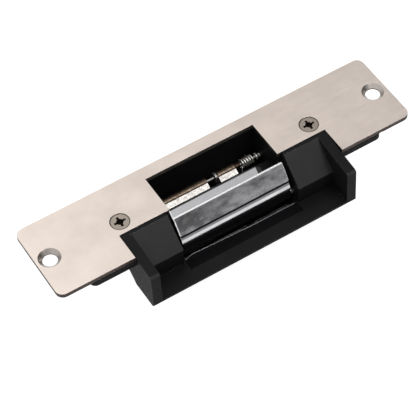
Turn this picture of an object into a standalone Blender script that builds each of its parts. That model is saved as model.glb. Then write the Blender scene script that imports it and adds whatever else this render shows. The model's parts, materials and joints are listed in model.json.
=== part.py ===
"""Electric door strike: notched steel face plate, die-cast tray body and swinging keeper.

The keeper turns outward on its pin to let a latch bolt go.  An electromagnet in the rear
housing pulls the armature of a locking lever, whose nose then rises behind the keeper's
tail and holds it shut.  With the power off, a spring keeps the lever down and the keeper
is free to swing against its own return spring.

All dimensions below are in millimetres and the helpers turn them into metres.  They are
written in the plate's frame: the origin is the middle of the plate's front face, +X runs
along the plate, +Y points away from the lip side and +Z points out of the plate.  One empty
then moves everything to the part's own frame, with its origin under the middle of the part.
"""

import math

import bmesh
import bpy
from mathutils import Matrix, Vector

MM = 0.001
GAP = 0.3
ROUND = 40
SMALL_ROUND = 24

# Face plate
PLATE_LENGTH = 150.0
PLATE_WIDTH = 34.0
PLATE_THICK = 2.0
PLATE_CORNER = 3.0
NOTCH_HALF = 44.15
NOTCH_Y = -5.36
POCKET_HALF = 23.2
POCKET_Y = 11.6
MOUNT_HOLE_X = 69.6
MOUNT_HOLE_R = 2.8
MOUNT_SINK_R = 4.25
BODY_SCREW_X = 40.7
BODY_SCREW_R = 2.0
BODY_SCREW_HEAD_R = 3.45
BODY_SCREW_LENGTH = 12.0
BODY_SCREW_SINK_LIP = 0.35
BODY_SCREW_SINK_DEPTH = 1.7
BODY_SCREW_SUNK = 0.2
PHILLIPS_WIDTH = 0.95
PHILLIPS_LENGTH = 4.6
PHILLIPS_DEPTH = 1.5
SEAT_HALF = 62.4
SEAT_DEPTH = 0.2

# Strike body: the tray in front, the housing behind it
TRAY_HALF = 43.85
TRAY_FRONT_Y = -26.6
TRAY_BACK_Y = -12.5
END_WALL_IN = 40.0
SHELF_TOP = -18.1
SHELF_BOTTOM = -19.9
RECESS_HALF = 24.5
RECESS_Y = -20.7
RECESS_DEPTH = 0.5
RAMP_IN = 25.0
HOUSING_HALF = 38.0
HOUSING_FRONT_Y = -16.9
HOUSING_BACK_Y = 14.5
HOUSING_WALL = 1.8
HOUSING_BOTTOM = -26.4
BODY_TOP = -PLATE_THICK - GAP
EAR_HALF = 62.0
EAR_THICK = 2.5
EAR_CORNER = 2.5
FLOOR_TOP = -11.0
FLOOR_BOTTOM = -12.6
FLOOR_BACK_Y = 2.0
BUTTON_AT = (17.4, -0.5)
BUTTON_STEM_R = 0.9
CAVITY_ROOF = -14.0
COVER_THICK = 1.3
COVER_BOTTOM = -28.0
COVER_SCREW_X = 33.4
COVER_SCREW_BACK_Y = 10.0
COVER_SCREW_FRONT_Y = -12.4
COVER_SCREW_R = 1.0
COVER_SCREW_HEAD_R = 1.9

# Keeper, and the pin that it swings on
KEEPER_AXIS = (-11.9, -16.0)
KEEPER_HALF = 23.5
KEEPER_PIN_R = 1.25
KEEPER_BARREL_R = 2.3
KEEPER_FRONT_Y = -14.2
KEEPER_BOTTOM = -19.2
KEEPER_TAIL_X = (4.3, 7.7)
KEEPER_SPRING_X = (14.4, 21.6)

# Locking lever, and the pin that it rocks on
LEVER_AXIS = (6.8, -12.3)
LEVER_PIN_R = 0.55
LEVER_KNUCKLE_R = 1.8
LEVER_FACE_Y = 5.4
LEVER_THICK = 1.5
LEVER_LEFT = (-22.8, -0.9)
LEVER_RIGHT = (3.9, 11.5)
LEVER_ARM_X = (4.1, 8.4)
LEVER_BOTTOM = -25.6
LEVER_NOSE_Y = -10.1
LEVER_NOSE_TOP = -21.7

# Electromagnet
COIL_AXIS = (-2.0, -20.4)
COIL_X = (-27.0, -9.0)
COIL_R = 4.6
BOBBIN_R = 5.2
CORE_R = 2.0
POLE_THICK = 1.7
POLE_FACE_Y = 3.7

# Largest size of the whole part, which places its own frame
PART_MIDDLE_Y = (TRAY_FRONT_Y + PLATE_WIDTH / 2) / 2


# ---------------------------------------------------------------- materials

def make_material(name, color, metallic, roughness):
    material = bpy.data.materials.new(name)
    material.use_nodes = True
    shader = material.node_tree.nodes["Principled BSDF"]
    shader.inputs["Base Color"].default_value = (*color, 1.0)
    shader.inputs["Metallic"].default_value = metallic
    shader.inputs["Roughness"].default_value = roughness
    material.diffuse_color = (*color, 1.0)
    return material


def make_materials():
    return {
        "stainless": make_material("stainless", (0.72, 0.68, 0.64), 1.0, 0.38),
        "screw": make_material("screw_steel", (0.50, 0.46, 0.41), 1.0, 0.35),
        "black": make_material("black_casting", (0.020, 0.020, 0.022), 0.0, 0.45),
        "chrome": make_material("chrome", (0.62, 0.62, 0.64), 1.0, 0.08),
        "zinc": make_material("zinc_plate", (0.74, 0.69, 0.58), 1.0, 0.32),
        "spring": make_material("spring_steel", (0.55, 0.53, 0.50), 1.0, 0.25),
        "iron": make_material("soft_iron", (0.36, 0.35, 0.34), 1.0, 0.45),
        "bronze": make_material("bronze", (0.26, 0.15, 0.08), 1.0, 0.40),
        "nylon": make_material("nylon", (0.80, 0.78, 0.70), 0.0, 0.50),
        "copper": make_material("copper_wire", (0.60, 0.26, 0.12), 1.0, 0.30),
        "tape": make_material("coil_tape", (0.62, 0.42, 0.06), 0.0, 0.40),
        "rubber": make_material("rubber", (0.03, 0.03, 0.03), 0.0, 0.80),
        "terminal": make_material("terminal_plastic", (0.05, 0.20, 0.09), 0.0, 0.45),
        "diode": make_material("diode_body", (0.04, 0.04, 0.05), 0.0, 0.30),
    }


# ------------------------------------------------------------------ helpers

def clear_scene():
    for item in list(bpy.data.objects):
        bpy.data.objects.remove(item, do_unlink=True)


def new_collection(name):
    collection = bpy.data.collections.new(name)
    bpy.context.scene.collection.children.link(collection)
    return collection


clear_scene()
PARTS = new_collection("electric_door_strike")
CUTTERS = new_collection("cutters")


def mesh_object(name, bm, location=(0, 0, 0)):
    """Make an object in the cutter collection; finish() moves it to the parts."""
    bmesh.ops.recalc_face_normals(bm, faces=bm.faces[:])
    mesh = bpy.data.meshes.new(name)
    bm.to_mesh(mesh)
    bm.free()
    item = bpy.data.objects.new(name, mesh)
    item.location = Vector(location) * MM
    CUTTERS.objects.link(item)
    item.hide_render = True
    item.display_type = "WIRE"
    return item


def middle(span):
    return (span[0] + span[1]) / 2


def extent(span):
    return abs(span[1] - span[0])


def box(name, x, y, z):
    """A box between the low and high values of each axis."""
    size = Vector((extent(x), extent(y), extent(z))) * MM
    bm = bmesh.new()
    bmesh.ops.create_cube(bm, size=1.0, matrix=Matrix.Diagonal((*size, 1.0)))
    return mesh_object(name, bm, (middle(x), middle(y), middle(z)))


AXIS_TURN = {
    "X": Matrix.Rotation(math.pi / 2, 4, "Y"),
    "Y": Matrix.Rotation(-math.pi / 2, 4, "X"),
    "Z": Matrix.Identity(4),
}


def cone(name, axis, radii, span, across, segments=ROUND):
    """A cone or cylinder along an axis, with one radius at each end of its span.

    across holds the axis line's place on the other two axes, in X, Y, Z order.
    """
    bm = bmesh.new()
    turn = AXIS_TURN[axis]
    bmesh.ops.create_cone(
        bm, cap_ends=True, segments=segments, radius1=radii[0] * MM,
        radius2=radii[1] * MM, depth=extent(span) * MM, matrix=turn,
    )
    centre = list(across)
    centre.insert("XYZ".index(axis), middle(span))
    return mesh_object(name, bm, centre)


def cylinder(name, axis, radius, span, across, segments=ROUND):
    return cone(name, axis, (radius, radius), span, across, segments)


def outline_solid(name, points, span, rotation, location):
    """Extrude a flat outline, drawn as a filled 2D curve, and turn it into a mesh."""
    curve = bpy.data.curves.new(name, "CURVE")
    curve.dimensions = "2D"
    curve.fill_mode = "BOTH"
    curve.extrude = extent(span) / 2 * MM
    spline = curve.splines.new("POLY")
    spline.points.add(len(points) - 1)
    for slot, point in zip(spline.points, points):
        slot.co = (point[0] * MM, point[1] * MM, 0.0, 1.0)
    spline.use_cyclic_u = True
    holder = bpy.data.objects.new(name + "_outline", curve)
    CUTTERS.objects.link(holder)
    holder.rotation_euler = rotation
    holder.location = Vector(location) * MM
    return curve_to_mesh(name, holder)


def curve_to_mesh(name, holder):
    """Replace a curve object by a mesh object in the same place, with its caps welded."""
    bpy.context.view_layer.update()
    graph = bpy.context.evaluated_depsgraph_get()
    mesh = bpy.data.meshes.new_from_object(holder.evaluated_get(graph))
    bm = bmesh.new()
    bm.from_mesh(mesh)
    bmesh.ops.remove_doubles(bm, verts=bm.verts[:], dist=0.00001)
    bmesh.ops.transform(bm, matrix=holder.matrix_world, verts=bm.verts[:])
    bpy.data.meshes.remove(mesh)
    bpy.data.objects.remove(holder, do_unlink=True)
    return mesh_object(name, bm)


def side_solid(name, outline, x):
    """Extrude an outline of (Y, Z) points along X."""
    turn = (math.radians(90), 0.0, math.radians(90))
    return outline_solid(name, outline, x, turn, (middle(x), 0.0, 0.0))


def front_solid(name, outline, y):
    """Extrude an outline of (X, Z) points along Y."""
    turn = (math.radians(90), 0.0, 0.0)
    return outline_solid(name, outline, y, turn, (0.0, middle(y), 0.0))


def flat_solid(name, outline, z):
    """Extrude an outline of (X, Y) points along Z."""
    return outline_solid(name, outline, z, (0.0, 0.0, 0.0), (0.0, 0.0, middle(z)))


def rounded_rectangle(x, y, radius, steps=5):
    """Corner points of a rectangle whose corners are arcs."""
    points = []
    corners = [(x[1], y[1], 0), (x[0], y[1], 90), (x[0], y[0], 180), (x[1], y[0], 270)]
    for corner_x, corner_y, start in corners:
        centre_x = corner_x - math.copysign(radius, corner_x - middle(x))
        centre_y = corner_y - math.copysign(radius, corner_y - middle(y))
        for step in range(steps + 1):
            angle = math.radians(start + 90 * step / steps)
            points.append((centre_x + radius * math.cos(angle),
                           centre_y + radius * math.sin(angle)))
    return points


def bulged(start, end, bulge, steps=8):
    """Points of a shallow arc from start to end, standing out to the left by bulge."""
    start = Vector(start)
    end = Vector(end)
    along = end - start
    out = Vector((along.y, -along.x)).normalized() * bulge
    points = []
    for step in range(steps + 1):
        share = step / steps
        points.append(tuple(start + along * share + out * 4 * share * (1 - share)))
    return points


def turned(name, profile, location=(0, 0, 0), segments=ROUND):
    """A body turned about its own Z axis; the profile of (radius, height) runs downwards."""
    bm = bmesh.new()
    rows = [bm.verts.new((radius * MM, 0.0, height * MM)) for radius, height in profile]
    for upper, lower in zip(rows, rows[1:]):
        bm.edges.new((upper, lower))
    mesh = bpy.data.meshes.new(name)
    bm.to_mesh(mesh)
    bm.free()
    item = bpy.data.objects.new(name, mesh)
    item.location = Vector(location) * MM
    CUTTERS.objects.link(item)
    screw = item.modifiers.new("turn", "SCREW")
    screw.axis = "Z"
    screw.steps = segments
    screw.render_steps = segments
    screw.use_merge_vertices = True
    screw.merge_threshold = 0.00001
    item.hide_render = True
    item.display_type = "WIRE"
    return item


def wire(name, points, radius):
    """A round wire along a list of points."""
    curve = bpy.data.curves.new(name, "CURVE")
    curve.dimensions = "3D"
    curve.bevel_depth = radius * MM
    curve.bevel_resolution = 2
    curve.use_fill_caps = True
    spline = curve.splines.new("POLY")
    spline.points.add(len(points) - 1)
    for slot, point in zip(spline.points, points):
        slot.co = (*(Vector(point) * MM), 1.0)
    holder = bpy.data.objects.new(name + "_wire", curve)
    CUTTERS.objects.link(holder)
    return curve_to_mesh(name, holder)


def coil_points(axis, radius, x, turns, start_angle, steps=14):
    """Points of a helix along X round an axis given by its (Y, Z)."""
    points = []
    count = int(turns * steps)
    for step in range(count + 1):
        share = step / count
        angle = math.radians(start_angle) + 2 * math.pi * turns * share
        points.append((x[0] + (x[1] - x[0]) * share,
                       axis[0] + radius * math.cos(angle),
                       axis[1] + radius * math.sin(angle)))
    return points


def boolean(base, operation, operands):
    """Join or cut with each operand in turn."""
    for operand in operands:
        modifier = base.modifiers.new(operand.name, "BOOLEAN")
        modifier.operation = operation
        modifier.solver = "EXACT"
        modifier.object = operand
    return base


def join(base, operands):
    return boolean(base, "UNION", operands)


def cut(base, operands):
    return boolean(base, "DIFFERENCE", operands)


def finish(item, material, parent, smooth=False):
    """Turn a working object into a part, and hang it on its parent where it stands."""
    CUTTERS.objects.unlink(item)
    PARTS.objects.link(item)
    item.hide_render = False
    item.display_type = "TEXTURED"
    item.data.materials.clear()
    item.data.materials.append(material)
    if smooth:
        item.data.shade_smooth()
        item.data.set_sharp_from_angle(angle=math.radians(35))
    hang(item, parent)
    return item


def hang(item, parent):
    """Parent an object and everything it is joined with or cut by, without moving them."""
    place = Matrix.LocRotScale(item.location, item.rotation_euler, item.scale)
    item.parent = parent
    item.matrix_basis = Matrix.Translation(-Vector(parent["rest"])) @ place
    for modifier in item.modifiers:
        if modifier.type == "BOOLEAN":
            hang(modifier.object, parent)


def new_empty(name, place, parent=None):
    """An empty that carries parts; its rest place is kept in the plate's frame."""
    empty = bpy.data.objects.new(name, None)
    PARTS.objects.link(empty)
    empty["rest"] = [value * MM for value in place]
    if parent:
        empty.parent = parent
        empty.location = Vector(place) * MM
    return empty


def both_sides(x):
    """The same span on the left and on the right."""
    return [(-x[1], -x[0]), x]


# --------------------------------------------------------------- face plate

def make_face_plate(materials, root):
    half = PLATE_LENGTH / 2
    outline = rounded_rectangle((-half, half), (-PLATE_WIDTH / 2, PLATE_WIDTH / 2), PLATE_CORNER)
    plate = flat_solid("face_plate", outline, (-PLATE_THICK, 0.0))
    through = (-PLATE_THICK - 1, 1.0)
    cutters = [
        box("plate_notch", (-NOTCH_HALF, NOTCH_HALF), (-PLATE_WIDTH, NOTCH_Y), through),
        box("plate_opening", (-POCKET_HALF, POCKET_HALF), (NOTCH_Y - 1, POCKET_Y), through),
        box("plate_seat", (-SEAT_HALF, SEAT_HALF), (-PLATE_WIDTH, PLATE_WIDTH),
            (-PLATE_THICK - 1, -PLATE_THICK + SEAT_DEPTH)),
    ]
    sink_over = 0.1
    for side in (-1, 1):
        mount_depth = MOUNT_SINK_R - MOUNT_HOLE_R
        screw_depth = BODY_SCREW_SINK_DEPTH
        sink_r = BODY_SCREW_HEAD_R + BODY_SCREW_SINK_LIP
        mount_at = (side * MOUNT_HOLE_X, 0.0)
        screw_at = (side * BODY_SCREW_X, 0.0)
        cutters += [
            cylinder(f"mount_hole_{side}", "Z", MOUNT_HOLE_R, through, mount_at),
            cone(f"mount_sink_{side}", "Z", (MOUNT_HOLE_R, MOUNT_SINK_R + sink_over),
                 (-mount_depth, sink_over), mount_at),
            cylinder(f"screw_hole_{side}", "Z", BODY_SCREW_R + 0.3, through, screw_at),
            cone(f"screw_sink_{side}", "Z", (sink_r - screw_depth, sink_r + sink_over),
                 (-screw_depth, sink_over), screw_at),
        ]
    cut(plate, cutters)
    return finish(plate, materials["stainless"], root)


def phillips_cutters(name, at, top, width, length, depth):
    """Two crossing slots and a tapered middle, as a driver leaves them."""
    x, y = at
    z = (top - depth, top + 0.5)
    return [
        box(name + "_slot_x", (x - length / 2, x + length / 2), (y - width / 2, y + width / 2), z),
        box(name + "_slot_y", (x - width / 2, x + width / 2), (y - length / 2, y + length / 2), z),
        cone(name + "_middle", "Z", (width * 0.5, length * 0.36), z, at, SMALL_ROUND),
    ]


def make_plate_screws(materials, root):
    top = -BODY_SCREW_SUNK
    head_depth = BODY_SCREW_HEAD_R - BODY_SCREW_R
    profile = [
        (0.0, top), (BODY_SCREW_HEAD_R, top), (BODY_SCREW_R, top - head_depth),
        (BODY_SCREW_R, -BODY_SCREW_LENGTH + 1.0), (1.2, -BODY_SCREW_LENGTH),
        (0.0, -BODY_SCREW_LENGTH),
    ]
    for side, word in ((-1, "left"), (1, "right")):
        at = (side * BODY_SCREW_X, 0.0)
        name = "plate_screw_" + word
        screw = turned(name, profile, (*at, 0.0))
        cut(screw, phillips_cutters(name, at, top, PHILLIPS_WIDTH, PHILLIPS_LENGTH,
                                    PHILLIPS_DEPTH))
        finish(screw, materials["screw"], root, smooth=True)


# -------------------------------------------------------------- strike body

def end_wall_outline():
    """Side view of a tray end wall: flush behind the plate's notch, lower in front."""
    under_plate = BODY_TOP - 0.6
    return [
        (TRAY_FRONT_Y, -18.9), (TRAY_FRONT_Y, -2.9), (TRAY_FRONT_Y + 0.7, -2.2),
        (NOTCH_Y - GAP, -0.1), (NOTCH_Y - GAP, under_plate), (-4.3, under_plate),
        (-4.3, -12.0), (TRAY_BACK_Y, -18.4), (TRAY_BACK_Y - 1.5, SHELF_BOTTOM),
        (TRAY_FRONT_Y + 1.0, SHELF_BOTTOM),
    ]


def ramp_outline():
    """Side view of the block beside the keeper: short flat top, ramp, upright front."""
    under_plate = BODY_TOP - 0.5
    return [
        (NOTCH_Y - GAP, -0.2), (-7.0, -0.2), (-17.1, -10.0), (-16.8, -21.3),
        (-4.1, -21.3), (-4.1, under_plate), (NOTCH_Y - GAP, under_plate),
    ]


def body_additions():
    """The pieces that the casting is built up from, besides its housing."""
    shelf = [
        (TRAY_FRONT_Y, -18.9), (TRAY_FRONT_Y, SHELF_TOP), (HOUSING_FRONT_Y + 0.9, SHELF_TOP),
        (HOUSING_FRONT_Y + 0.9, SHELF_BOTTOM), (TRAY_FRONT_Y + 1.0, SHELF_BOTTOM),
    ]
    pieces = [side_solid("shelf", shelf, (-END_WALL_IN - 1, END_WALL_IN + 1))]
    for x in both_sides((END_WALL_IN, TRAY_HALF)):
        pieces.append(side_solid(f"end_wall_{x[0]:.0f}", end_wall_outline(), x))
    for x in both_sides((RAMP_IN - 1, END_WALL_IN + 0.5)):
        pieces.append(side_solid(f"ramp_{x[0]:.0f}", ramp_outline(), x))
    ears = rounded_rectangle((-EAR_HALF, EAR_HALF), (-PLATE_WIDTH / 2, HOUSING_BACK_Y + 0.1),
                             EAR_CORNER)
    strip = flat_solid("ears", ears, (BODY_TOP - EAR_THICK, BODY_TOP))
    clear = TRAY_HALF - 1.5
    cut(strip, [box("ears_clear", (-clear, clear), (-30.0, -4.9), (-10.0, 5.0))])
    pieces.append(strip)
    for side in (-1, 1):
        pieces.append(cylinder(f"screw_boss_{side}", "Z", 4.4, (-13.5, BODY_TOP - 0.1),
                               (side * BODY_SCREW_X, 0.0)))
    return pieces


def body_hollows():
    """The spaces cut out of the casting."""
    deep = HOUSING_BOTTOM - 1
    back_in = HOUSING_BACK_Y - HOUSING_WALL
    side_in = HOUSING_HALF - HOUSING_WALL
    slot = RAMP_IN
    spaces = [
        box("keeper_space", (-slot, slot), (-15.3, -4.9), (deep, 2.0)),
        box("tray_space", (-slot, slot), (-30.0, -15.0), (SHELF_TOP, 2.0)),
        box("shelf_recess", (-RECESS_HALF, RECESS_HALF), (RECESS_Y, -15.0),
            (SHELF_TOP - RECESS_DEPTH, -10.0)),
        box("pocket", (-POCKET_HALF - 0.4, POCKET_HALF + 0.4), (-5.0, POCKET_Y + 0.3),
            (FLOOR_TOP, 2.0)),
        box("lever_channel", (-POCKET_HALF - 0.4, POCKET_HALF + 0.4),
            (FLOOR_BACK_Y, POCKET_Y + 0.3), (CAVITY_ROOF - 0.1, FLOOR_TOP + 0.1)),
        box("under_floor", (-slot, slot), (-5.1, FLOOR_BACK_Y + 0.1), (deep, FLOOR_BOTTOM)),
        box("magnet_room", (-side_in, side_in), (-8.0, back_in), (deep, CAVITY_ROOF)),
    ]
    for side in (-1, 1):
        spaces.append(cylinder(f"screw_bore_{side}", "Z", BODY_SCREW_R + 0.2, (-15.0, 0.0),
                               (side * BODY_SCREW_X, 0.0)))
    spaces += [
        cylinder("keeper_pin_bore", "X", KEEPER_PIN_R + 0.1, (-33.3, 33.3), KEEPER_AXIS),
        cylinder("button_hole", "Z", BUTTON_STEM_R + 0.2, (FLOOR_BOTTOM - 1, FLOOR_TOP + 1),
                 BUTTON_AT, SMALL_ROUND),
        cylinder("lead_hole", "X", 2.6, (35.0, 40.0), (2.0, -20.4)),
    ]
    return spaces


def cover_screw_places():
    return [(side * COVER_SCREW_X, y) for side in (-1, 1)
            for y in (COVER_SCREW_FRONT_Y, COVER_SCREW_BACK_Y)]


def make_strike_body(materials, root):
    body = box("strike_body", (-HOUSING_HALF, HOUSING_HALF), (NOTCH_Y, HOUSING_BACK_Y),
               (HOUSING_BOTTOM, BODY_TOP - 0.2))
    nose = box("housing_nose", (-HOUSING_HALF + 0.1, HOUSING_HALF - 0.1),
               (HOUSING_FRONT_Y, NOTCH_Y + 1), (HOUSING_BOTTOM + 0.1, -19.0))
    join(body, [nose] + body_additions())
    cut(body, body_hollows())
    bosses = [cylinder("pin_boss", "X", 1.7, (23.1, 24.5), LEVER_AXIS)]
    bores = [cylinder("lever_pin_bore", "X", LEVER_PIN_R + 0.1, (-28.3, 28.3), LEVER_AXIS)]
    for index, (x, y) in enumerate(cover_screw_places()):
        if y > 0:
            bosses.append(cylinder(f"cover_boss_{index}", "Z", 2.9,
                                   (HOUSING_BOTTOM, CAVITY_ROOF + 0.5), (x, y)))
        bores.append(cylinder(f"cover_bore_{index}", "Z", COVER_SCREW_R + 0.15,
                              (HOUSING_BOTTOM - 1, -18.5 if y > 0 else -20.2), (x, y)))
    join(body, bosses)
    cut(body, bores)
    return finish(body, materials["black"], root)


# ------------------------------------------------------------------- keeper

def keeper_outline():
    """Side view of the keeper, from its top inner edge down the front and back up."""
    top_edge = (-5.5, -0.15)
    ledge = [(-7.85, -2.25), (-8.4, -2.3)]
    groove_top = (-12.65, -8.2)
    front = bulged((-8.45, -2.45), groove_top, 0.12)
    band = bulged((-12.9, -9.1), (-13.95, -11.8), 0.2, steps=5)
    return [
        top_edge, *ledge, *front, (-12.15, -8.35), (-12.25, -9.0), *band,
        (KEEPER_FRONT_Y, KEEPER_BOTTOM), (-12.6, KEEPER_BOTTOM), (-10.2, -17.6),
        (-9.4, -14.8), (-8.2, -10.0), (-5.5, -3.4),
    ]


def make_keeper(materials, pivot):
    y, z = KEEPER_AXIS
    keeper = side_solid("keeper", keeper_outline(), (-KEEPER_HALF, KEEPER_HALF))
    barrel = cylinder("keeper_barrel", "X", KEEPER_BARREL_R,
                      (-KEEPER_HALF + 0.2, KEEPER_HALF - 0.2), KEEPER_AXIS)
    lean = math.radians(5)
    tail = box("keeper_tail", KEEPER_TAIL_X, (-0.8, 0.8), (-5.3, -1.6))
    tail.data.transform(Matrix.Rotation(-lean, 4, "X") @ Matrix.Translation(tail.location))
    tail.location = Vector((0.0, y, z)) * MM
    join(keeper, [barrel, tail])
    room_x = (KEEPER_SPRING_X[0] - 0.5, KEEPER_SPRING_X[1] + 0.5)
    cut(keeper, [
        cylinder("keeper_bore", "X", KEEPER_PIN_R + 0.1, (-30.0, 30.0), KEEPER_AXIS),
        cylinder("keeper_spring_room", "X", 2.02, room_x, KEEPER_AXIS),
        box("keeper_spring_back", room_x, (y, y + 4), (z - 4, z + 2.02)),
        box("keeper_leg_room", room_x, (y + 0.9, y + 4), (z, z + 3.5)),
        box("keeper_top_cut", (13.3, KEEPER_HALF + 1), (-7.75, 0.0), (-6.5, 2.0)),
    ])
    return finish(keeper, materials["chrome"], pivot, smooth=True)


def make_keeper_pin(materials, root):
    pin = cylinder("keeper_pin", "X", KEEPER_PIN_R, (-33.0, 33.0), KEEPER_AXIS)
    return finish(pin, materials["screw"], root, smooth=True)


def make_keeper_spring(materials, root):
    """Torsion spring on the keeper's pin: one leg on the wall behind, one on the keeper."""
    y, z = KEEPER_AXIS
    mean = 1.65
    start, end = KEEPER_SPRING_X
    coil = coil_points(KEEPER_AXIS, mean, KEEPER_SPRING_X, 9.75, 0)
    wall_leg = [(start, -6.0, -13.2), (start, y + mean + 0.5, -13.5), (start, y + mean, -14.6)]
    keeper_leg = [(end, y + 1.4, z - mean), (end, y + 2.4, z - mean + 0.3)]
    spring = wire("keeper_spring", wall_leg + coil + keeper_leg, 0.22)
    return finish(spring, materials["spring"], root, smooth=True)


def make_keeper_bumpers(materials, root):
    """Two rubber pads on the pocket floor's front edge, where the keeper comes to rest."""
    for word, x in zip(("left", "right"), both_sides((11.0, 17.0))):
        pad = box("keeper_bumper_" + word, x, (-8.2, -5.2), (FLOOR_BOTTOM + 0.1, FLOOR_TOP - 0.1))
        finish(pad, materials["rubber"], root)


def make_latch_button(materials, root):
    """Rubber button pushed into the pocket floor, which quietens the latch bolt."""
    stem_top = FLOOR_TOP + 0.2
    button = cone("latch_button", "Z", (1.9, 1.5), (stem_top, stem_top + 0.5), BUTTON_AT)
    join(button, [cylinder("button_stem", "Z", BUTTON_STEM_R, (FLOOR_BOTTOM - 0.1, stem_top + 0.1),
                           BUTTON_AT, SMALL_ROUND)])
    return finish(button, materials["rubber"], root, smooth=True)


# ------------------------------------------------------------ locking lever

def lever_plate_outline():
    """Front view of the lever's upright plate: two hinge leaves over a wide armature."""
    top = LEVER_AXIS[1]
    step = -17.4
    return [
        (LEVER_LEFT[0], top), (LEVER_LEFT[0], step), (-31.0, step), (-31.0, LEVER_BOTTOM),
        (LEVER_RIGHT[1], LEVER_BOTTOM), (LEVER_RIGHT[1], top), (LEVER_RIGHT[0], top),
        (LEVER_RIGHT[0], step), (LEVER_LEFT[1], step), (LEVER_LEFT[1], top),
    ]


def lever_lug_outline():
    """Side view of a hinge leaf: a sloping front that runs from the knuckle to the plate."""
    y, z = LEVER_AXIS
    foot = -16.8
    return [
        (y - 0.8, z + 1.39), (3.45, -12.38), (3.45, -14.9), (LEVER_FACE_Y + 0.2, foot),
        (LEVER_FACE_Y + LEVER_THICK - 0.2, foot), (y + 1.3, z), (y, z + 0.6),
    ]


def make_locking_lever(materials, pivot):
    back = LEVER_FACE_Y + LEVER_THICK
    lever = front_solid("locking_lever", lever_plate_outline(), (LEVER_FACE_Y, back))
    arm_top = LEVER_BOTTOM + 1.5
    arm_outline = [
        (LEVER_FACE_Y + 0.5, LEVER_BOTTOM), (LEVER_FACE_Y + 0.5, arm_top), (-7.0, arm_top),
        (-8.2, LEVER_NOSE_TOP), (LEVER_NOSE_Y, LEVER_NOSE_TOP), (LEVER_NOSE_Y, LEVER_BOTTOM),
    ]
    pieces = [side_solid("lever_arm", arm_outline, LEVER_ARM_X)]
    for index, x in enumerate((LEVER_LEFT, LEVER_RIGHT)):
        inside = (x[0] + 0.05, x[1] - 0.05)
        pieces.append(side_solid(f"lever_lug_{index}", lever_lug_outline(), inside))
        pieces.append(cylinder(f"lever_knuckle_{index}", "X", LEVER_KNUCKLE_R,
                               (x[0] + 0.1, x[1] - 0.1), LEVER_AXIS))
    join(lever, pieces)
    cut(lever, [cylinder("lever_bore", "X", LEVER_PIN_R + 0.1, (-40.0, 30.0), LEVER_AXIS)])
    return finish(lever, materials["zinc"], pivot, smooth=True)


def tube(name, radius, bore, x, axis):
    sleeve = cylinder(name, "X", radius, x, axis)
    cut(sleeve, [cylinder(name + "_bore", "X", bore, (x[0] - 1, x[1] + 1), axis)])
    return sleeve


def make_lever_pin_parts(materials, root):
    pin = cylinder("lever_pin", "X", LEVER_PIN_R, (-28.0, 28.0), LEVER_AXIS, SMALL_ROUND)
    finish(pin, materials["zinc"], root, smooth=True)
    bore = LEVER_PIN_R + 0.15
    collar = tube("lever_collar", 1.95, bore, (2.7, 3.6), LEVER_AXIS)
    finish(collar, materials["zinc"], root, smooth=True)
    spacer = tube("lever_spacer", 1.6, bore, (11.8, 13.7), LEVER_AXIS)
    finish(spacer, materials["bronze"], root, smooth=True)
    clip_x = (20.9, 21.5)
    clip = tube("lever_clip", 1.45, bore, clip_x, LEVER_AXIS)
    mouth_half = LEVER_PIN_R - 0.05
    cut(clip, [box("lever_clip_mouth", (clip_x[0] - 1, clip_x[1] + 1),
                   (LEVER_AXIS[0] - mouth_half, LEVER_AXIS[0] + mouth_half),
                   (LEVER_AXIS[1] - 3, LEVER_AXIS[1]))])
    finish(clip, materials["spring"], root, smooth=True)
    end_ring = tube("lever_end_ring", 1.0, bore, (22.2, 22.8), LEVER_AXIS)
    finish(end_ring, materials["spring"], root, smooth=True)


def make_lever_spring(materials, root):
    """Torsion spring on the lever's pin: one leg in front of the lever, one on the wall."""
    y, z = LEVER_AXIS
    mean = 1.5
    x = (14.2, 19.8)
    coil = coil_points(LEVER_AXIS, mean, x, 5.5, 180)
    leg_y = LEVER_FACE_Y - 0.4
    lever_leg = [(10.6, leg_y, -18.4), (x[0] - 0.6, leg_y, -18.4),
                 (x[0], leg_y, -17.8), (x[0], y - mean, z - 1.0)]
    wall_leg = [(x[1], y + mean, z - 1.0), (x[1], y + mean, z - 3.4), (x[1], y + mean + 0.6, z - 4),
                (x[1], 12.3, z - 4)]
    spring = wire("lever_spring", lever_leg + coil + wall_leg, 0.3)
    return finish(spring, materials["spring"], root, smooth=True)


def make_lever_stop(materials, root):
    pad = box("lever_stop", (-20.0, -12.0), (LEVER_FACE_Y + LEVER_THICK + GAP, 12.4),
              (-24.0, -19.5))
    return finish(pad, materials["rubber"], root)


# ------------------------------------------------------------ electromagnet

def make_pole_plates(materials, root):
    """Two iron plates at the coil's ends, whose back edges pull on the armature."""
    y = (-7.4, POLE_FACE_Y)
    z = (HOUSING_BOTTOM + GAP, CAVITY_ROOF - GAP)
    spans = ((COIL_X[0] - 1 - GAP - POLE_THICK, COIL_X[0] - 1 - GAP),
             (COIL_X[1] + 1 + GAP, COIL_X[1] + 1 + GAP + POLE_THICK))
    for word, x in zip(("left", "right"), spans):
        plate = box("pole_plate_" + word, x, y, z)
        cut(plate, [
            cylinder("pole_bore_" + word, "X", 1.15, (x[0] - 1, x[1] + 1), COIL_AXIS,
                     SMALL_ROUND),
            box("pole_step_" + word, (x[0] - 1, x[1] + 1), (1.6, POLE_FACE_Y + 1),
                (-17.6, CAVITY_ROOF)),
        ])
        finish(plate, materials["iron"], root)


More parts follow.
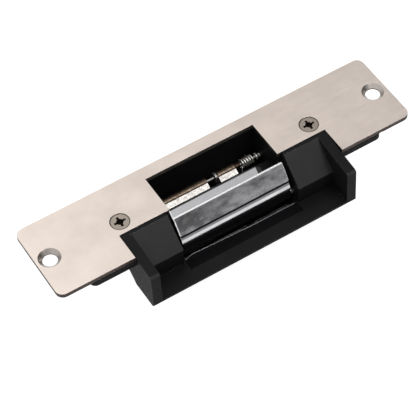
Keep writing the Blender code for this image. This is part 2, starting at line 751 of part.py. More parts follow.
def make_pole_screws(materials, root):
    """Pan-head screws through the pole plates into the core's ends."""
    reach = 1 + GAP + POLE_THICK + GAP
    for word, end, side in (("left", COIL_X[0], -1), ("right", COIL_X[1], 1)):
        face = end + side * reach
        top = face + side * 1.3
        head = (min(face, top), max(face, top))
        tip = end - side * 2.0
        shank = (min(face, tip), max(face, tip))
        slot = (min(top, top - side * 0.5), max(top, top - side * 0.5))
        screw = cylinder("pole_screw_" + word, "X", 1.9, head, COIL_AXIS)
        join(screw, [cylinder("pole_shank_" + word, "X", 0.9, (shank[0] - 0.1, shank[1] + 0.1),
                              COIL_AXIS, SMALL_ROUND)])
        cut(screw, [box("pole_slot_" + word, (slot[0] - 0.1, slot[1] + 0.1),
                        (COIL_AXIS[0] - 0.3, COIL_AXIS[0] + 0.3), (-24.0, -17.0))])
        finish(screw, materials["screw"], root, smooth=True)


def make_coil(materials, root):
    x = (COIL_X[0] - 1, COIL_X[1] + 1)
    core = cylinder("coil_core", "X", CORE_R, x, COIL_AXIS)
    cut(core, [
        cylinder("core_thread_left", "X", 1.1, (x[0] - 1, x[0] + 3.6), COIL_AXIS, SMALL_ROUND),
        cylinder("core_thread_right", "X", 1.1, (x[1] - 3.6, x[1] + 1), COIL_AXIS, SMALL_ROUND),
    ])
    finish(core, materials["iron"], root, smooth=True)
    bobbin = cylinder("coil_bobbin", "X", CORE_R + 1.0, x, COIL_AXIS)
    join(bobbin, [
        cylinder("bobbin_flange_left", "X", BOBBIN_R, (x[0], COIL_X[0]), COIL_AXIS),
        cylinder("bobbin_flange_right", "X", BOBBIN_R, (COIL_X[1], x[1]), COIL_AXIS),
    ])
    cut(bobbin, [cylinder("bobbin_bore", "X", CORE_R + 0.2, (x[0] - 1, x[1] + 1), COIL_AXIS)])
    finish(bobbin, materials["nylon"], root, smooth=True)
    wound = (COIL_X[0] + GAP, COIL_X[1] - GAP)
    winding = tube("coil_winding", COIL_R - 0.5, CORE_R + 1.2, wound, COIL_AXIS)
    finish(winding, materials["copper"], root, smooth=True)
    wrapped = (COIL_X[0] + 2.0, COIL_X[1] - 2.0)
    tape = tube("coil_tape", COIL_R, COIL_R - 0.3, wrapped, COIL_AXIS)
    finish(tape, materials["tape"], root, smooth=True)


# ------------------------------------------------- rear cover and the wiring

def make_rear_cover(materials, root):
    z = (COVER_BOTTOM, COVER_BOTTOM + COVER_THICK)
    outline = rounded_rectangle((-HOUSING_HALF + 0.2, HOUSING_HALF - 0.2),
                                (HOUSING_FRONT_Y + 0.2, HOUSING_BACK_Y - 0.2), 1.5)
    cover = flat_solid("rear_cover", outline, z)
    cutters = []
    sink = COVER_SCREW_HEAD_R + 0.2
    for index, at in enumerate(cover_screw_places()):
        cutters += [
            cylinder(f"cover_hole_{index}", "Z", COVER_SCREW_R + 0.2, (z[0] - 1, z[1] + 1), at,
                     SMALL_ROUND),
            cone(f"cover_sink_{index}", "Z", (sink + 0.1, COVER_SCREW_R + 0.2),
                 (z[0] - 0.1, z[0] + 0.9), at, SMALL_ROUND),
        ]
    cut(cover, cutters)
    return finish(cover, materials["iron"], root)


def make_cover_screws(materials, root):
    """Four countersunk screws with their heads just inside the cover's outer face."""
    face = COVER_BOTTOM + 0.1
    profile = [(0.0, 7.0), (COVER_SCREW_R, 7.0), (COVER_SCREW_R, 0.8),
               (COVER_SCREW_HEAD_R, 0.0), (0.0, 0.0)]
    for index, at in enumerate(cover_screw_places(), start=1):
        screw = turned(f"cover_screw_{index}", profile, (*at, face), SMALL_ROUND)
        cut(screw, [box(f"cover_slot_{index}", (at[0] - 2.4, at[0] + 2.4),
                        (at[1] - 0.25, at[1] + 0.25), (face - 1.0, face + 0.45))])
        finish(screw, materials["screw"], root, smooth=True)


def make_wiring(materials, root):
    """The grommet that the supply leads come through, and what they end on."""
    grommet_axis = (2.0, -20.4)
    wall = (HOUSING_HALF - HOUSING_WALL, HOUSING_HALF)
    grommet = cylinder("lead_grommet", "X", 2.4, (wall[0] - 0.8, wall[1] + 0.9), grommet_axis)
    join(grommet, [
        cylinder("grommet_inner", "X", 3.3, (wall[0] - 1.1, wall[0] - GAP), grommet_axis),
        cylinder("grommet_outer", "X", 3.3, (wall[1] + GAP, wall[1] + 1.2), grommet_axis),
    ])
    cut(grommet, [cylinder("grommet_bore", "X", 1.4, (30.0, 42.0), grommet_axis)])
    finish(grommet, materials["rubber"], root, smooth=True)

    block_x = (17.0, 31.0)
    block = box("terminal_block", block_x, (-6.4, 1.6), (-25.6, -16.4))
    screw_places = [(20.5, -2.4), (27.5, -2.4)]
    wells = [cylinder(f"terminal_well_{index}", "Z", 2.2, (-27.0, -22.0), at)
             for index, at in enumerate(screw_places)]
    entries = [box(f"terminal_entry_{index}", (at[0] - 1.2, at[0] + 1.2), (-0.4, 3.0),
                   (-20.8, -18.4)) for index, at in enumerate(screw_places)]
    cut(block, wells + entries)
    finish(block, materials["terminal"], root)

    for index, at in enumerate(screw_places, start=1):
        screw = cylinder(f"terminal_screw_{index}", "Z", 1.9, (-24.9, -22.3), at, SMALL_ROUND)
        cut(screw, [box(f"terminal_slot_{index}", (at[0] - 2.2, at[0] + 2.2),
                        (at[1] - 0.3, at[1] + 0.3), (-26.0, -24.2))])
        finish(screw, materials["screw"], root, smooth=True)

    diode_axis = (4.6, -17.6)
    diode = cylinder("suppression_diode", "X", 1.1, (20.0, 25.0), diode_axis, SMALL_ROUND)
    join(diode, [cylinder("diode_leads", "X", 0.3, (16.5, 28.5), diode_axis, SMALL_ROUND)])
    finish(diode, materials["diode"], root, smooth=True)


# ----------------------------------------------------------------- assembly

def main():
    materials = make_materials()
    root = new_empty("part_frame", (0.0, 0.0, 0.0))
    root.location = Vector((0.0, -PART_MIDDLE_Y, -COVER_BOTTOM)) * MM
    keeper_pivot = new_empty("keeper_pivot", (0.0, *KEEPER_AXIS), root)
    lever_pivot = new_empty("lever_pivot", (0.0, *LEVER_AXIS), root)

    make_face_plate(materials, root)
    make_plate_screws(materials, root)
    make_strike_body(materials, root)
    make_keeper(materials, keeper_pivot)
    make_keeper_pin(materials, root)
    make_keeper_spring(materials, root)
    make_keeper_bumpers(materials, root)
    make_latch_button(materials, root)
    make_locking_lever(materials, lever_pivot)
    make_lever_pin_parts(materials, root)
    make_lever_spring(materials, root)
    make_lever_stop(materials, root)
    make_pole_plates(materials, root)
    make_pole_screws(materials, root)
    make_coil(materials, root)
    make_rear_cover(materials, root)
    make_cover_screws(materials, root)
    make_wiring(materials, root)


main()
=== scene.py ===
"""Looks of the electric door strike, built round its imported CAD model."""

import functools
import json
import math

import bmesh
import bpy
from mathutils import Euler, Matrix, Vector

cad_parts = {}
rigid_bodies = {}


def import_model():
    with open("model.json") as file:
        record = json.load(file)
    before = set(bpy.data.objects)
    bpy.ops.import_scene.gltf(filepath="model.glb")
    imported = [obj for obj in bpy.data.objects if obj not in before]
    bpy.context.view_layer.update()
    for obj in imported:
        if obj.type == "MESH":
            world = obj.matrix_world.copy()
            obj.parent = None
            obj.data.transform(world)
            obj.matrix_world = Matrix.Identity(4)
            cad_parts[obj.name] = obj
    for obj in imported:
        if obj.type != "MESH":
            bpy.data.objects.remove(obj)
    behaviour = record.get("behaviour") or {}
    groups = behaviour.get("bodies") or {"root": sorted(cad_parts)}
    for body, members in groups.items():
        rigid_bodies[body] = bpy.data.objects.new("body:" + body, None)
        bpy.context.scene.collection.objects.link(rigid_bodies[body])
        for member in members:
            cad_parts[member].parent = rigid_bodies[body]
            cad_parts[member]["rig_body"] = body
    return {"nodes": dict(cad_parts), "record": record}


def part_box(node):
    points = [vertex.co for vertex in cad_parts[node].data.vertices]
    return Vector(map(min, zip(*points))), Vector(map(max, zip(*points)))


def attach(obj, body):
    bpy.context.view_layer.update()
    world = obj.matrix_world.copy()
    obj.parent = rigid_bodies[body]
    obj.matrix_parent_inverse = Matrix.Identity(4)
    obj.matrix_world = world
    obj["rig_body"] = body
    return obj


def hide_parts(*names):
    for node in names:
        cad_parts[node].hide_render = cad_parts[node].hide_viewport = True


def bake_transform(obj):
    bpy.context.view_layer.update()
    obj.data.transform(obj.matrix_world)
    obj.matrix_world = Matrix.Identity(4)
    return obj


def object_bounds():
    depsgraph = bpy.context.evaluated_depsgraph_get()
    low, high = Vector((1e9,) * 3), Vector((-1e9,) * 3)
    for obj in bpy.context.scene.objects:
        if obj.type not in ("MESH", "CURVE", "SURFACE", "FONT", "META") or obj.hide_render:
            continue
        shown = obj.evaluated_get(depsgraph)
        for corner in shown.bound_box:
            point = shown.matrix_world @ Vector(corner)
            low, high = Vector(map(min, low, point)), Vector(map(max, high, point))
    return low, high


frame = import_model()
cad_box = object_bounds()

MM = 0.001

# Camera: where it looks from, in degrees, and how far it stands off
LOOK_AZIMUTH = 28.26
LOOK_DOWN = 52.17
LOOK_ROLL = 4.46
LOOK_DISTANCE = 0.6696
LENS = 161.34
SENSOR = 36.0
# Where the view's middle meets the plate's face, from the face's own middle
LOOK_AT = (-0.0112, -0.0122)

# Floor: half its side in metres, its grey, how much of its white is its own glow, and how far
# it lies under the part
FLOOR_HALF = 3.0
FLOOR_GREY = (0.35, 0.35, 0.35)
FLOOR_GLOW = 0.88
FLOOR_DROP = 0.0003

# Studio light from all round.  The directions are parts of a unit vector: the dark screen in
# front is given as (height, level) stops, between the two heights where its ramp ends
SCREEN_ENDS = (0.08, 0.61)
SCREEN_LOW = (0.55, 0.55, 0.56)
SCREEN_STOPS = ((0.20, 0.42), (0.36, 0.15), (0.50, 0.14))
SCREEN_BLUE = 1.03
WHITE = (1.0, 1.0, 1.0)
# How far round the screen reaches towards the front and the right, and how it fades there
SCREEN_FRONT = (-0.58, -0.80)
SCREEN_RIGHT = (0.22, 0.36)
SCREEN_FADED = 0.62
# Brightness at the left and at the right, and the directions between which it falls
STUDIO_LEVELS = (1.35, 0.15)
STUDIO_SPAN = (-0.20, 0.70)

# The two lamps in metres and watts: size, power, place and where it aims
KEY_LIGHT = ((0.35, 0.35), 0.12, (-0.12, 0.36, 0.54), (-0.05, 0, 0))
FILL_LIGHT = ((0.35, 0.35), 4.0, (0.22, -0.38, 0.80), (0, 0, 0))

# The body in mm: half the hollow's length, where the hollow starts from the tray's front, the
# back wall, and how high above the body's underside its dark faces reach
HOLLOW_HALF = 24.6
HOLLOW_FRONT = 5.8
BODY_WALL = 2.0
HOLLOW_TOP = 8.1

# The plate in mm: its outer sides lie within this of its box, and half its opening is less
# than this along it
PLATE_BORDER = 2.0
OPENING_HALF = 30.0

# Reach in mm of a body screw's countersink and of its driver's cross, and the cross's depths
SINK_REACH = 5.0
CROSS_REACH = 2.6
CROSS_DROP = (0.05, 1.8)

# Reach of a lever's knuckle round its pin, as a share of the collar's radius
KNUCKLE_SHARE = 0.97

# Heights below the keeper's top, in mm, where its front changes: the ledge, the front, the
# groove and the bright band
KEEPER_LEDGE = (1.8, 2.6)
KEEPER_FRONT = (2.25, 8.05)
KEEPER_GROOVE = (8.08, 8.93)
KEEPER_BAND = (8.95, 11.75)


# ------------------------------------------------------------ stage and camera

@functools.lru_cache(maxsize=None)
def box(node):
    """The corners of a CAD node's box."""
    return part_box(node)


def plate_face_middle():
    low, high = box("face_plate")
    return Vector(((low.x + high.x) / 2, (low.y + high.y) / 2, high.z))


def make_camera():
    data = bpy.data.cameras.new("camera")
    data.lens = LENS
    data.sensor_width = SENSOR
    data.clip_start = 0.01
    data.clip_end = 20.0
    camera = bpy.data.objects.new("camera", data)
    bpy.context.scene.collection.objects.link(camera)
    turn = Euler((math.radians(90 - LOOK_DOWN), 0.0, -math.radians(LOOK_AZIMUTH))).to_matrix()
    turn = turn @ Matrix.Rotation(-math.radians(LOOK_ROLL), 3, "Z")
    aim = plate_face_middle() + Vector((*LOOK_AT, 0.0))
    camera.matrix_world = Matrix.LocRotScale(
        aim + turn @ Vector((0.0, 0.0, LOOK_DISTANCE)), turn, None)
    bpy.context.scene.camera = camera


def make_floor():
    bm = bmesh.new()
    bmesh.ops.create_grid(bm, x_segments=1, y_segments=1, size=FLOOR_HALF)
    mesh = bpy.data.meshes.new("floor")
    bm.to_mesh(mesh)
    bm.free()
    floor = bpy.data.objects.new("floor", mesh)
    bpy.context.scene.collection.objects.link(floor)
    floor.location.z = cad_box[0][2] - FLOOR_DROP
    material, nodes, links, shader = new_material("floor")
    shader.inputs["Base Color"].default_value = (*FLOOR_GREY, 1.0)
    shader.inputs["Roughness"].default_value = 0.9
    shader.inputs["Emission Color"].default_value = (*WHITE, 1.0)
    shader.inputs["Emission Strength"].default_value = FLOOR_GLOW
    mesh.materials.append(material)


def make_light(name, size, energy, place, aim):
    data = bpy.data.lights.new(name, "AREA")
    data.shape = "RECTANGLE"
    data.size, data.size_y = size
    data.energy = energy
    light = bpy.data.objects.new(name, data)
    light.location = place
    light.rotation_euler = (Vector(aim) - Vector(place)).to_track_quat("-Z", "Y").to_euler()
    bpy.context.scene.collection.objects.link(light)


def make_world():
    """A pale studio that is brighter on the left, with one dark screen low in front."""
    world = bpy.data.worlds.new("studio")
    world.use_nodes = True
    nodes = world.node_tree.nodes
    links = world.node_tree.links
    background = nodes["Background"]
    coordinate = nodes.new("ShaderNodeTexCoord")
    split = nodes.new("ShaderNodeSeparateXYZ")
    links.new(coordinate.outputs["Generated"], split.inputs["Vector"])

    screen = ramp(nodes, links, split.outputs["Z"], SCREEN_LOW, WHITE, *SCREEN_ENDS)
    stops = screen.node.color_ramp.elements
    for place, level in SCREEN_STOPS:
        stop = stops.new(place)
        stop.color = (level, level, level * SCREEN_BLUE, 1.0)
    front = spread(nodes, links, split.outputs["Y"], 0.0, 1.0, *SCREEN_FRONT)
    leftward = spread(nodes, links, split.outputs["X"], 1.0, SCREEN_FADED, *SCREEN_RIGHT)
    both = nodes.new("ShaderNodeMath")
    both.operation = "MULTIPLY"
    links.new(front, both.inputs[0])
    links.new(leftward, both.inputs[1])
    mix = nodes.new("ShaderNodeMix")
    mix.data_type = "RGBA"
    links.new(both.outputs["Value"], mix.inputs["Factor"])
    mix.inputs["A"].default_value = (*WHITE, 1.0)
    links.new(screen, mix.inputs["B"])
    links.new(mix.outputs["Result"], background.inputs["Color"])
    strength = spread(nodes, links, split.outputs["X"], *STUDIO_LEVELS, *STUDIO_SPAN)
    links.new(strength, background.inputs["Strength"])
    bpy.context.scene.world = world


# ------------------------------------------------------------------- materials

def new_material(name):
    material = bpy.data.materials.new(name)
    material.use_nodes = True
    nodes = material.node_tree.nodes
    return material, nodes, material.node_tree.links, nodes["Principled BSDF"]


def noise(nodes, links, scale, detail=3.0, stretch=(1, 1, 1), roughness=0.55):
    """Noise over the object's own coordinates, in cycles a metre, stretched on each axis."""
    coordinate = nodes.new("ShaderNodeTexCoord")
    mapping = nodes.new("ShaderNodeMapping")
    mapping.inputs["Scale"].default_value = stretch
    texture = nodes.new("ShaderNodeTexNoise")
    texture.inputs["Scale"].default_value = scale
    texture.inputs["Detail"].default_value = detail
    texture.inputs["Roughness"].default_value = roughness
    links.new(coordinate.outputs["Object"], mapping.inputs["Vector"])
    links.new(mapping.outputs["Vector"], texture.inputs["Vector"])
    return texture.outputs["Fac"]


def ramp(nodes, links, value, low, high, start=0.3, end=0.7):
    """Spread a value between two colours or greys."""
    node = nodes.new("ShaderNodeValToRGB")
    node.color_ramp.elements[0].position = start
    node.color_ramp.elements[1].position = end
    node.color_ramp.elements[0].color = (*low, 1.0)
    node.color_ramp.elements[1].color = (*high, 1.0)
    links.new(value, node.inputs["Fac"])
    return node.outputs["Color"]


def spread(nodes, links, value, low, high, start=0.3, end=0.7):
    """Spread a value between two levels."""
    node = nodes.new("ShaderNodeMapRange")
    node.inputs["From Min"].default_value = start
    node.inputs["From Max"].default_value = end
    node.inputs["To Min"].default_value = low
    node.inputs["To Max"].default_value = high
    links.new(value, node.inputs["Value"])
    return node.outputs["Result"]


def bump(nodes, links, shader, value, strength, distance):
    node = nodes.new("ShaderNodeBump")
    node.inputs["Strength"].default_value = strength
    node.inputs["Distance"].default_value = distance
    links.new(value, node.inputs["Height"])
    links.new(node.outputs["Normal"], shader.inputs["Normal"])


def shade(color, factor):
    """A colour made darker or lighter."""
    return tuple(min(1.0, channel * factor) for channel in color)


def metal(name, color, roughness, grain=(1, 1, 1), scale=900.0, depth=0.00002, vary=0.08,
          cloud_scale=60.0):
    """A worn metal: cloudy colour, a grain that may run one way, and matching roughness."""
    material, nodes, links, shader = new_material(name)
    cloud = noise(nodes, links, cloud_scale)
    lines = noise(nodes, links, scale, detail=4.0, stretch=grain)
    tint = ramp(nodes, links, cloud, shade(color, 1 - vary), shade(color, 1 + vary))
    links.new(tint, shader.inputs["Base Color"])
    links.new(spread(nodes, links, lines, roughness * 0.75, roughness * 1.3),
              shader.inputs["Roughness"])
    shader.inputs["Metallic"].default_value = 1.0
    bump(nodes, links, shader, lines, 0.35, depth)
    return material


def coated(name, color, roughness, scale=1500.0, depth=0.00003, vary=0.2, gloss=0.5):
    """Paint, plastic or rubber: fine orange peel over an even colour."""
    material, nodes, links, shader = new_material(name)
    cloud = noise(nodes, links, 90.0)
    peel = noise(nodes, links, scale, detail=2.0)
    tint = ramp(nodes, links, cloud, shade(color, 1 - vary), shade(color, 1 + vary))
    links.new(tint, shader.inputs["Base Color"])
    links.new(spread(nodes, links, peel, roughness * 0.85, roughness * 1.2),
              shader.inputs["Roughness"])
    shader.inputs["Specular IOR Level"].default_value = gloss
    bump(nodes, links, shader, peel, 0.3, depth)
    return material


# Where the keeper front's painted dark reflection starts and is fullest along X, in metres
PAINTED_DARK_SPAN = (0.002, -0.022)


def darken_towards_left_painted(nodes, links, value, start, end, loss):
    """Lower a value by a loss that grows towards -X between two places, in metres; on the keeper
    this paints a dark reflection.
    """
    coordinate = nodes.new("ShaderNodeTexCoord")
    split = nodes.new("ShaderNodeSeparateXYZ")
    links.new(coordinate.outputs["Object"], split.inputs["Vector"])
    shift = nodes.new("ShaderNodeMath")
    shift.operation = "SUBTRACT"
    links.new(value, shift.inputs[0])
    links.new(spread(nodes, links, split.outputs["X"], 0.0, loss, start, end), shift.inputs[1])
    return shift.outputs["Value"]


def chrome(name, low, high, scale=260.0, roughness=0.14, left_painted_dark=0.0):
    """Chrome over a die casting: bright, with handling smears and fine polish lines, and, when
    asked, a painted dark reflection growing towards -X.
    """
    material, nodes, links, shader = new_material(name)
    smear = noise(nodes, links, scale, detail=5.0, stretch=(0.55, 1.0, 1.0), roughness=0.6)
    if left_painted_dark:
        smear = darken_towards_left_painted(nodes, links, smear, *PAINTED_DARK_SPAN, left_painted_dark)
    polish = noise(nodes, links, 2600.0, detail=2.0, stretch=(0.06, 1.0, 1.0))
    tint = ramp(nodes, links, smear, (low, low, low * 1.02), (high, high, high * 1.02), 0.32, 0.62)
    links.new(tint, shader.inputs["Base Color"])
    links.new(spread(nodes, links, smear, roughness * 1.4, roughness * 0.8),
              shader.inputs["Roughness"])
    shader.inputs["Metallic"].default_value = 1.0
    bump(nodes, links, shader, polish, 0.25, 0.000004)
    return material


def wound(name):
    """Enamelled wire laid in even turns along X."""
    material, nodes, links, shader = new_material(name)
    coordinate = nodes.new("ShaderNodeTexCoord")
    turns = nodes.new("ShaderNodeTexWave")
    turns.wave_profile = "SIN"
    turns.inputs["Scale"].default_value = 900.0
    links.new(coordinate.outputs["Object"], turns.inputs["Vector"])
    tint = ramp(nodes, links, turns.outputs["Fac"], (0.30, 0.10, 0.04), (0.68, 0.30, 0.13))
    links.new(tint, shader.inputs["Base Color"])
    shader.inputs["Metallic"].default_value = 1.0
    shader.inputs["Roughness"].default_value = 0.28
    bump(nodes, links, shader, turns.outputs["Fac"], 1.0, 0.00008)
    return material


def make_materials():
    along_x = (0.03, 1.0, 1.0)
    steel = (0.88, 0.775, 0.70)
    return {
        "face_plate": metal("stainless", steel, 0.36, along_x, 2500.0, 0.000008, 0.07, 70.0),
        # The plate's sides: its own steel painted near black, a painted dark reflection
        "plate_side": metal("steel_sides_painted_dark", (0.055, 0.042, 0.038), 0.5, (1, 1, 0.1), 2500.0),
        # The opening's far side: the plate's steel painted darker, a painted shade
        "opening_side": metal("opening_steel_painted_shade", (0.30, 0.27, 0.23), 0.45, (1, 1, 0.1), 2500.0),
        # The plate's rounded edges: its steel painted darker, a painted dark outline
        "plate_rim": metal("steel_edges_painted_dark", (0.42, 0.38, 0.355), 0.32),
        # The countersinks: the plate's steel painted darker, a painted shade
        "mount_sink": metal("mount_sink_painted_shade", (0.34, 0.31, 0.29), 0.34),
        # Round the body screws: the plate's steel painted near black, a painted shadow ring
        "sink": metal("countersink_painted_shadow", (0.085, 0.065, 0.055), 0.5),
        "plate_screws": metal("screw_steel", (0.46, 0.40, 0.34), 0.34),
        # The driver's cross: screw steel painted near black, painted shade in the recess
        "recess": metal("driver_recess_painted_shade", (0.018, 0.014, 0.012), 0.7),
        "body": coated("black_casting", (0.004, 0.004, 0.0045), 0.44, gloss=0.15),
        "body_wall": coated("casting_sides", (0.004, 0.004, 0.0045), 0.55, gloss=0.07),
        # Inside the hollow: the casting painted darker and less glossy, a painted shade
        "body_deep": coated("casting_hollow_painted_shade", (0.003, 0.003, 0.0035), 0.55, gloss=0.04),
        # The bead: lighter, glossy grey, partly rubbed wear and partly a painted highlight line
        "bead": coated("bead_wear_and_painted_highlight", (0.045, 0.045, 0.048), 0.28, gloss=1.0),
        # The ramps are painted a little lighter and glossier than the rest of the casting
        "body_ramp": coated("lighter_ramp_casting", (0.008, 0.008, 0.009), 0.40, gloss=0.30),
        # The casting's edges: lighter glossy grey, edge wear and a painted edge highlight
        "body_rim": coated("casting_edges_wear_and_painted_highlight", (0.06, 0.06, 0.064), 0.26, gloss=1.0),
        "keeper": chrome("chrome", 0.54, 0.66),
        # The keeper's front: chrome painted darker towards the left, a painted dark reflection
        "keeper_front": chrome("chrome_front_painted_dark_left", 0.25, 0.84, 300.0, 0.16, left_painted_dark=0.12),
        # The band: a slightly darker copy of the keeper's chrome, a painted shade
        "keeper_band": chrome("chrome_band_painted_shade", 0.44, 0.54),
        # The keeper's lower and hidden faces: chrome painted near black, a painted shade
        "keeper_low": metal("chrome_painted_shade", (0.035, 0.035, 0.037), 0.35, along_x, 600.0),
        # The keeper's ledge and end chamfers: painted near white, a painted highlight
        "keeper_rim": metal("chrome_painted_highlight", (0.95, 0.95, 0.96), 0.42, depth=0.000002, vary=0.05),
        "pin_steel": metal("pin_steel", (0.50, 0.48, 0.45), 0.30),
        "zinc_plated": metal("zinc_plate", (0.275, 0.262, 0.248), 0.42, scale=1400.0, vary=0.30,
                             cloud_scale=700.0),
        # The knuckles: the lever's zinc painted darker brown, a painted shade
        "knuckle": metal("knuckle_zinc_painted_shade", (0.085, 0.065, 0.048), 0.40, vary=0.3, cloud_scale=700.0),
        "springs": metal("spring_steel", (0.80, 0.77, 0.74), 0.42),
        "bronze": metal("bronze", (0.032, 0.019, 0.015), 0.38),
        "rubber": coated("rubber", (0.012, 0.012, 0.012), 0.65),
        "iron": metal("soft_iron", (0.36, 0.35, 0.34), 0.42),
        "cover": metal("cover_steel", (0.55, 0.55, 0.54), 0.36),
        "nylon": coated("nylon", (0.72, 0.70, 0.62), 0.45, vary=0.05),
        "copper": wound("copper_wire"),
        "tape": coated("coil_tape", (0.60, 0.40, 0.06), 0.30, vary=0.08),
        "terminal": coated("terminal_plastic", (0.02, 0.16, 0.07), 0.40, vary=0.1),
        "diode": coated("diode_body", (0.02, 0.02, 0.022), 0.25),
    }


# ---------------------------------------------------------------------- pieces

# An edge sharper than this many degrees is rounded
EDGE_ANGLE = 32
# Rounding of a node's edges in mm, and the material that its edges take
PLAIN_EDGE = (0.08, None)
EDGES = {
    # The casting's rounded edges take a lighter grey, edge wear and a painted edge highlight
    "strike_body": (0.35, "body_rim"),
    # The plate's rounded edges take a darker copy of its steel, a painted dark outline
    "face_plate": (0.16, "plate_rim"),
    "keeper": (0.06, None),
    "locking_lever": (0.2, None),
    "rear_cover": (0.2, None),
    "terminal_block": (0.3, None),
    "plate_screw_left": (0.05, None),
    "plate_screw_right": (0.05, None),
    "latch_button": (0.2, None),
    "keeper_bumper_left": (0.3, None),
    "keeper_bumper_right": (0.3, None),
    "lever_stop": (0.3, None),
    "lead_grommet": (0.2, None),
}

# A strip along the top of a node, in mm, that takes its own material; on the keeper it takes the
# near-black painted shade
TOP_CUTS = {"keeper": 0.30}
# Chamfers round a bar's end faces: how far they run along the bar in mm, and how many times
# further that is than they cut into the end
END_CHAMFERS = {"keeper": 0.4}
CHAMFER_SLANT = 2.2
# Faces and points of a CAD node this close, in mm, are in the same place
SAME_PLACE = 0.05
SAME_POINT = 0.005
# Faces that turn by less than this many degrees are one flat face
FLAT_ANGLE = 0.5
# Steps in the rounding of an edge
EDGE_STEPS = 3

# The two torsion springs in mm: ends of the coil along X, mean radius, wire radius, turns and
# where the coil starts in degrees, then each leg's points from the pin's middle
SPRINGS = {
    "keeper_spring": {
        "pin": "keeper_pin", "x": (14.4, 21.6), "mean": 1.65, "wire": 0.22, "turns": 9.75,
        "start": 0, "bodies": ("strike", "keeper"),
        "before": [(14.4, 5.9, 2.8), (14.4, 2.15, 2.5), (14.4, 1.65, 1.4)],
        "after": [(21.6, 1.4, -1.65), (21.6, 2.4, -1.35)],
    },
    "lever_spring": {
        "pin": "lever_pin", "x": (14.2, 19.8), "mean": 1.5, "wire": 0.3, "turns": 5.5,
        "start": 180, "bodies": ("lever", "strike"),
        "before": [(10.6, -1.8, -6.1), (13.6, -1.8, -6.1), (14.2, -1.8, -5.5), (14.2, -1.5, -1.0)],
        "after": [(19.8, 1.5, -1.0), (19.8, 1.5, -3.4), (19.8, 2.1, -4.0), (19.8, 5.5, -4.0)],
    },
}


def spring_points(spec, turn_steps=40):
    """The middle line of a torsion spring, leg to leg, in metres."""
    low, high = box(spec["pin"])
    axis = (low + high) / 2
    count = int(spec["turns"] * turn_steps)
    first, last = spec["x"]
    points = list(spec["before"])
    for step in range(count + 1):
        share = step / count
        angle = math.radians(spec["start"]) + math.tau * spec["turns"] * share
        points.append((first + (last - first) * share, spec["mean"] * math.cos(angle),
                       spec["mean"] * math.sin(angle)))
    points += spec["after"]
    return [Vector((x * MM, axis.y + y * MM, axis.z + z * MM)) for x, y, z in points]


def skin(name, rings, material):
    """A closed smooth piece over a row of rings of points."""
    bm = bmesh.new()
    loops = [[bm.verts.new(point) for point in ring] for ring in rings]
    sides = len(loops[0])
    for loop, following in zip(loops, loops[1:]):
        for side in range(sides):
            nearby = (side + 1) % sides
            bm.faces.new((loop[side], loop[nearby], following[nearby], following[side]))
    bm.faces.new(loops[0][::-1])
    bm.faces.new(loops[-1])
    bmesh.ops.recalc_face_normals(bm, faces=bm.faces[:])
    mesh = bpy.data.meshes.new(name)
    bm.to_mesh(mesh)
    bm.free()
    mesh.shade_smooth()
    mesh.materials.append(material)
    piece = bpy.data.objects.new(name, mesh)
    bpy.context.scene.collection.objects.link(piece)
    return piece


def make_spring(node, materials, slot, sides=14):
    """A drawn-wire spring whose legs rest on two bodies, built as one fixed piece that is attached
    to neither.
    """
    spec = SPRINGS[node]
    points = spring_points(spec)
    rings = []
    across = Vector((0.0, 0.0, 1.0))
    for index, point in enumerate(points):
        before = points[max(index - 1, 0)]
        after = points[min(index + 1, len(points) - 1)]
        along = (after - before).normalized()
        across = (across - along * across.dot(along)).normalized()
        other = along.cross(across)
        ring = []
        for side in range(sides):
            angle = math.tau * side / sides
            offset = across * math.cos(angle) + other * math.sin(angle)
            ring.append(point + offset * spec["wire"] * MM)
        rings.append(ring)
    piece = skin(node + "_fine", rings, materials[slot])
    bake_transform(piece)
    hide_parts(node)


def chamfer_ends(bm, width):
    """Chamfer the outline of a bar's two end faces, keeping within the bar's length."""
    tip = max(vert.co.x for vert in bm.verts)
    ends = [face for face in bm.faces if abs(face.normal.x) > 0.99 and
            tip - abs(face.calc_center_median().x) < SAME_PLACE * MM]
    for face in ends:
        side = math.copysign(1.0, face.normal.x)
        rim = list(face.verts)
        bmesh.ops.inset_individual(bm, faces=[face], thickness=width / CHAMFER_SLANT * MM,
                                   use_even_offset=True)
        for vert in rim:
            vert.co.x -= side * width * MM
    bm.normal_update()


